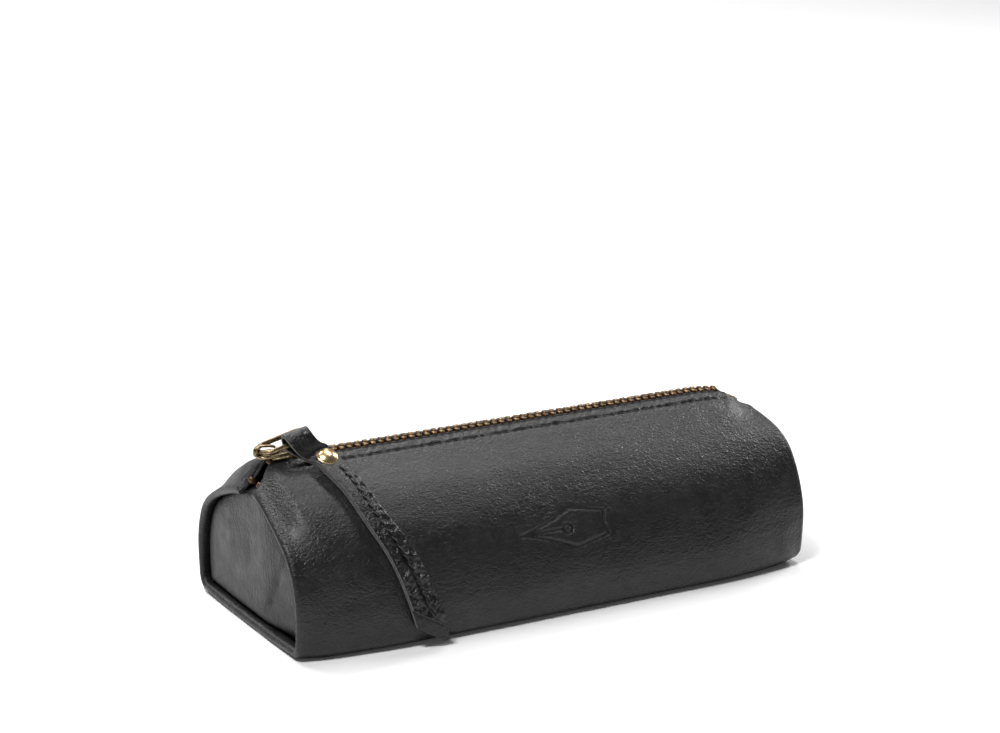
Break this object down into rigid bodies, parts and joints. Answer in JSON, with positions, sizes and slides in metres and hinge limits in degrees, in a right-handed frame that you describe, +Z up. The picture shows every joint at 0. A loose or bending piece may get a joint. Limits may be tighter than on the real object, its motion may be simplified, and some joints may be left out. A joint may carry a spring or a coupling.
{
  "type": "fountain pen case",
  "caption": "Zipped leather pouch with a flat base, pillowed end panels and a brass zip along its ridge, opened by a riveted leather pull on a brass ring.",
  "frame": {"origin": "centre of the flat base, on the surface that the case stands on", "axes": "+X along the case towards the zip's closed end stop, -Y the front face that the pull hangs over, +Z up"},
  "size_m": [0.2, 0.0967, 0.0687],
  "materials": {
    "leather": "black pebbled full-grain leather, semi-matt",
    "strap_leather": "black leather strap with cut edges",
    "thread": "black waxed polyester thread",
    "zip_tape": "black woven herringbone tape",
    "zip_metal": "antique brass, brushed",
    "slider_metal": "antique brass, polished",
    "rivet_metal": "polished brass"
  },
  "bodies": {
    "case": {"body_wrap": "leather", "end_panel_left": "leather", "end_panel_right": "leather", "end_seam_stitching_left": "thread", "end_seam_stitching_right": "thread", "zip_stitching_front": "thread", "zip_stitching_back": "thread", "zip_tape_front": "zip_tape", "zip_tape_back": "zip_tape", "zip_teeth_front": "zip_metal", "zip_teeth_back": "zip_metal", "zip_top_stop_front": "zip_metal", "zip_top_stop_back": "zip_metal", "zip_bottom_stop": "zip_metal"},
    "slider": {"slider_body": "slider_metal", "slider_crown": "slider_metal"},
    "ring": {"pull_ring": "slider_metal"},
    "strap": {"pull_strap": "strap_leather", "rivet_cap": "rivet_metal", "rivet_post": "rivet_metal", "strap_stitching": "thread"}
  },
  "joints": [
    {"name": "slider_travel", "type": "slide", "parent": "case", "child": "slider", "axis": [1, 0, 0], "range_m": [0, 0.165]},
    {"name": "ring_tilt", "type": "hinge", "parent": "slider", "child": "ring", "pos_m": [-0.094, 0, 0.06095], "axis": [0, -1, 0], "range_deg": [0, 95]},
    {"name": "strap_swing", "type": "hinge", "parent": "ring", "child": "strap", "pos_m": [-0.08172, -0.00445, 0.06378], "axis": [-0.9744, 0, -0.225], "range_deg": [0, 75]}
  ]
}
